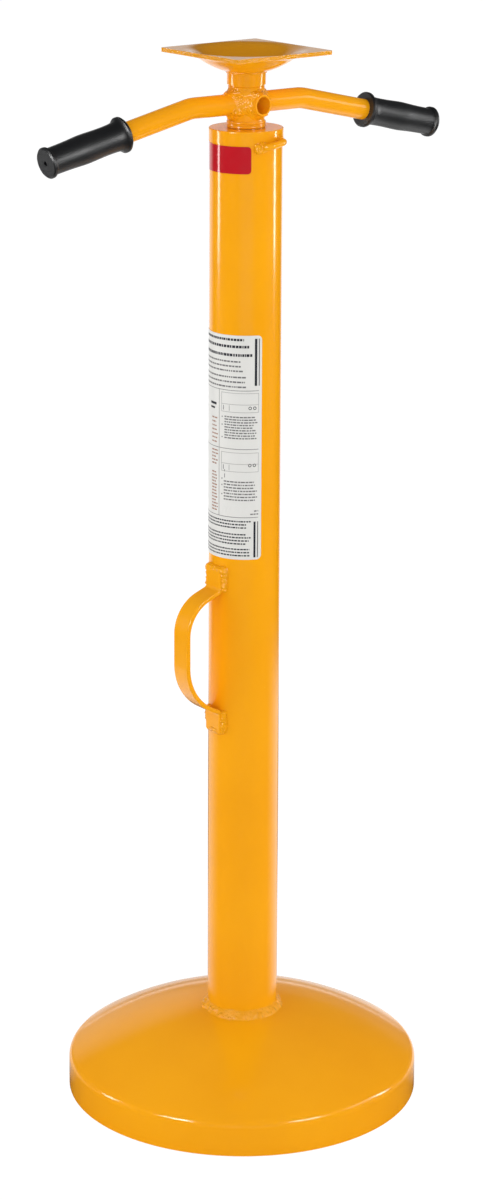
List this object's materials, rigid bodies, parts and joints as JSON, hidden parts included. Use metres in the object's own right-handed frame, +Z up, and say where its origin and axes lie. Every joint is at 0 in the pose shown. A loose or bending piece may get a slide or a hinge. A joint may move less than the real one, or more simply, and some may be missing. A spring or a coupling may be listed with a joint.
{
  "type": "trailer stabilizing jack stand",
  "caption": "Tubular steel trailer jack stand: round pressed base, dished square top plate, hand-turned lifting screw with gripped arms, and a strap carry handle.",
  "frame": {"origin": "on the floor at the column's axis, the centre of the round base's underside", "axes": "+Z up the column, X along the turning arms with the screw fully down and the carry handle on the -X side"},
  "size_m": [0.5013, 0.381, 1.1438],
  "materials": {
    "yellow_paint": "gloss enamel over steel",
    "black_rubber": "satin moulded",
    "label_film": "satin film",
    "red_film": "gloss film",
    "bare_steel": "oiled"
  },
  "bodies": {
    "stand": {"base_dish": "yellow_paint", "base_weld": "yellow_paint", "foot_plate": "yellow_paint", "column_tube": "yellow_paint", "top_cap": "yellow_paint", "lift_nut": "bare_steel", "carry_handle": "yellow_paint", "handle_welds": "yellow_paint", "tether_loop": "yellow_paint", "tether_loop_welds": "yellow_paint", "instruction_label": "label_film", "red_decal": "red_film"},
    "carrier": {"thrust_washer": "yellow_paint"},
    "spindle": {"lift_screw": "yellow_paint", "stop_collar": "yellow_paint", "stop_washer": "bare_steel", "stop_bolt": "bare_steel", "cross_tube": "yellow_paint", "cross_tube_welds": "yellow_paint", "arm_left": "yellow_paint", "arm_right": "yellow_paint", "arm_welds": "yellow_paint", "grip_left": "black_rubber", "grip_right": "black_rubber"},
    "head": {"top_plate": "yellow_paint", "swivel_socket": "yellow_paint", "socket_weld": "yellow_paint", "retaining_pin": "bare_steel"}
  },
  "joints": [
    {"name": "lift", "type": "slide", "parent": "stand", "child": "carrier", "axis": [0, 0, 1], "range_m": [0, 0.2921]},
    {"name": "spin", "type": "hinge", "parent": "carrier", "child": "spindle", "pos_m": [0, 0, 1], "axis": [0, 0, 1], "range_deg": [0, 16560]},
    {"name": "swivel", "type": "hinge", "parent": "carrier", "child": "head", "pos_m": [0, 0, 1.1126], "axis": [0, 0, 1], "continuous": true}
  ],
  "couplings": [
    {"joint": "lift", "follows": "spin", "m_per_rad": 0.0010106}
  ]
}
